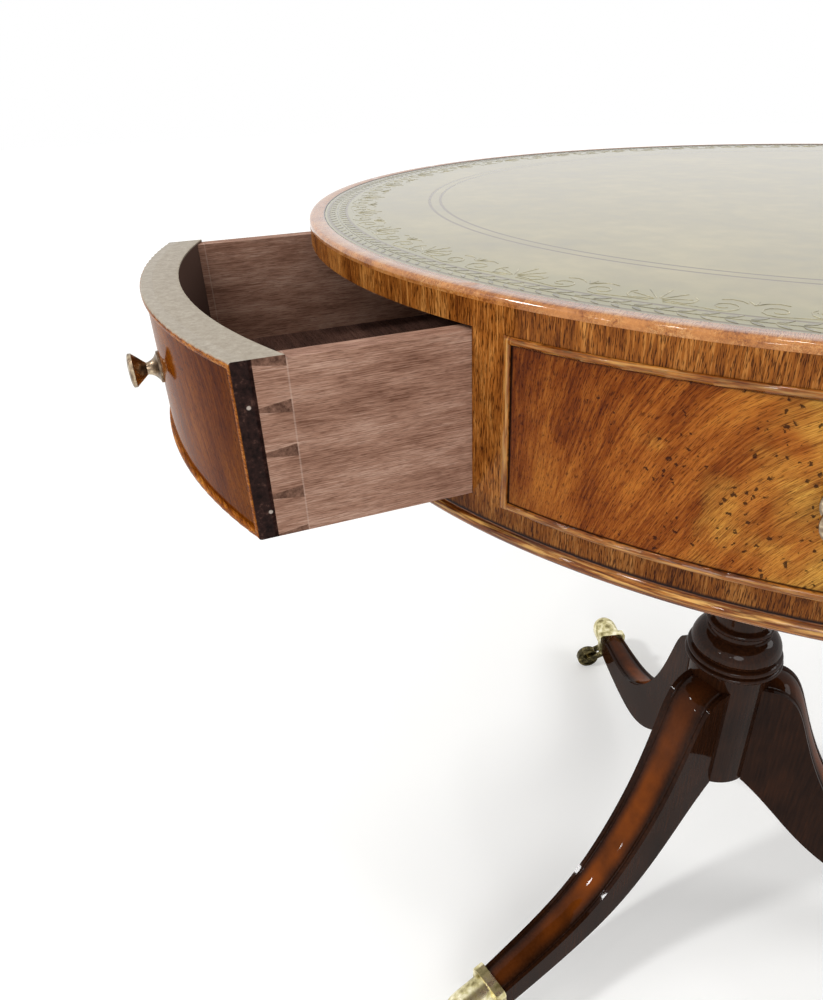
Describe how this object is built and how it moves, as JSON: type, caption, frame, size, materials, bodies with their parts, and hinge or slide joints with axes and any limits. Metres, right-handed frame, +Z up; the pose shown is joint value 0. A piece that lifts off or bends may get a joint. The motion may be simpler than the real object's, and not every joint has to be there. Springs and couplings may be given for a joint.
{
  "type": "revolving drum table",
  "caption": "Round writing table whose leather-topped drum of drawers and dummy fronts turns on a turned column with sabre legs, brass toe caps and castors.",
  "frame": {"origin": "on the floor, on the axis that the drum turns about", "axes": "+Z up, -Y the way that drawer 1 slides out, +X the way that drawer 2 slides out"},
  "size_m": [0.8152, 0.9195, 0.774],
  "materials": {
    "frieze_mahogany": "polished veneer",
    "flame_mahogany": "polished veneer",
    "margin_mahogany": "polished crossbanding",
    "bead_mahogany": "worn polish",
    "drawer_mahogany": "unpolished",
    "carcass_mahogany": "unpolished",
    "dark_mahogany": "polished",
    "green_leather": "gilt tooling, worn",
    "washer_leather": "greased",
    "old_brass": "patinated",
    "steel": "dull"
  },
  "bodies": {
    "base": {"column": "dark_mahogany", "leg_1": "dark_mahogany", "leg_2": "dark_mahogany", "leg_3": "dark_mahogany", "toe_cap_1": "old_brass", "toe_cap_2": "old_brass", "toe_cap_3": "old_brass", "bearing_block": "dark_mahogany", "thrust_washer": "washer_leather", "spindle": "steel", "pivot_nut": "steel"},
    "drum": {"top_board": "frieze_mahogany", "top_margin": "margin_mahogany", "leather_top": "green_leather", "bottom_board": "frieze_mahogany", "base_bead": "bead_mahogany", "pivot_bush": "old_brass", "frieze_stiles": "frieze_mahogany", "drawer_partitions": "carcass_mahogany", "core_box": "carcass_mahogany", "dummy_fronts": "flame_mahogany", "dummy_cock_beads": "bead_mahogany", "dummy_knobs": "old_brass"},
    "drawer_1": {"drawer_1_front": "flame_mahogany", "drawer_1_side_left": "drawer_mahogany", "drawer_1_side_right": "drawer_mahogany", "drawer_1_back": "drawer_mahogany", "drawer_1_bottom": "drawer_mahogany", "drawer_1_cock_bead": "bead_mahogany", "drawer_1_knob": "old_brass"},
    "drawer_2": {"drawer_2_front": "flame_mahogany", "drawer_2_side_left": "drawer_mahogany", "drawer_2_side_right": "drawer_mahogany", "drawer_2_back": "drawer_mahogany", "drawer_2_bottom": "drawer_mahogany", "drawer_2_cock_bead": "bead_mahogany", "drawer_2_knob": "old_brass"},
    "drawer_3": {"drawer_3_front": "flame_mahogany", "drawer_3_side_left": "drawer_mahogany", "drawer_3_side_right": "drawer_mahogany", "drawer_3_back": "drawer_mahogany", "drawer_3_bottom": "drawer_mahogany", "drawer_3_cock_bead": "bead_mahogany", "drawer_3_knob": "old_brass"},
    "drawer_4": {"drawer_4_front": "flame_mahogany", "drawer_4_side_left": "drawer_mahogany", "drawer_4_side_right": "drawer_mahogany", "drawer_4_back": "drawer_mahogany", "drawer_4_bottom": "drawer_mahogany", "drawer_4_cock_bead": "bead_mahogany", "drawer_4_knob": "old_brass"},
    "castor_1": {"castor_horn_1": "old_brass", "castor_axle_1": "old_brass"},
    "castor_1_wheel": {"castor_wheel_1": "old_brass"},
    "castor_2": {"castor_horn_2": "old_brass", "castor_axle_2": "old_brass"},
    "castor_2_wheel": {"castor_wheel_2": "old_brass"},
    "castor_3": {"castor_horn_3": "old_brass", "castor_axle_3": "old_brass"},
    "castor_3_wheel": {"castor_wheel_3": "old_brass"}
  },
  "joints": [
    {"name": "drum_turn", "type": "hinge", "parent": "base", "child": "drum", "pos_m": [0, 0, 0.66], "axis": [0, 0, 1], "continuous": true},
    {"name": "drawer_1_slide", "type": "slide", "parent": "drum", "child": "drawer_1", "axis": [0, -1, 0], "range_m": [-0.1043, 0.0544]},
    {"name": "drawer_2_slide", "type": "slide", "parent": "drum", "child": "drawer_2", "axis": [1, 0, 0], "range_m": [0, 0.1587]},
    {"name": "drawer_3_slide", "type": "slide", "parent": "drum", "child": "drawer_3", "axis": [0, 1, 0], "range_m": [0, 0.1587]},
    {"name": "drawer_4_slide", "type": "slide", "parent": "drum", "child": "drawer_4", "axis": [-1, 0, 0], "range_m": [0, 0.1587]},
    {"name": "castor_1_swivel", "type": "hinge", "parent": "base", "child": "castor_1", "pos_m": [0.08554, -0.33681, 0.0384], "axis": [0, 0, 1], "continuous": true},
    {"name": "castor_1_roll", "type": "hinge", "parent": "castor_1", "child": "castor_1_wheel", "pos_m": [0.11558, -0.32918, 0.017], "axis": [0.2462, -0.9692, 0], "continuous": true},
    {"name": "castor_2_swivel", "type": "hinge", "parent": "base", "child": "castor_2", "pos_m": [0.24891, 0.24248, 0.0384], "axis": [0, 0, 1], "continuous": true},
    {"name": "castor_2_roll", "type": "hinge", "parent": "castor_2", "child": "castor_2_wheel", "pos_m": [0.22728, 0.26469, 0.017], "axis": [0.7163, 0.6978, 0], "continuous": true},
    {"name": "castor_3_swivel", "type": "hinge", "parent": "base", "child": "castor_3", "pos_m": [-0.33445, 0.09433, 0.0384], "axis": [0, 0, 1], "continuous": true},
    {"name": "castor_3_roll", "type": "hinge", "parent": "castor_3", "child": "castor_3_wheel", "pos_m": [-0.34287, 0.06449, 0.017], "axis": [-0.9625, 0.2714, 0], "continuous": true}
  ]
}
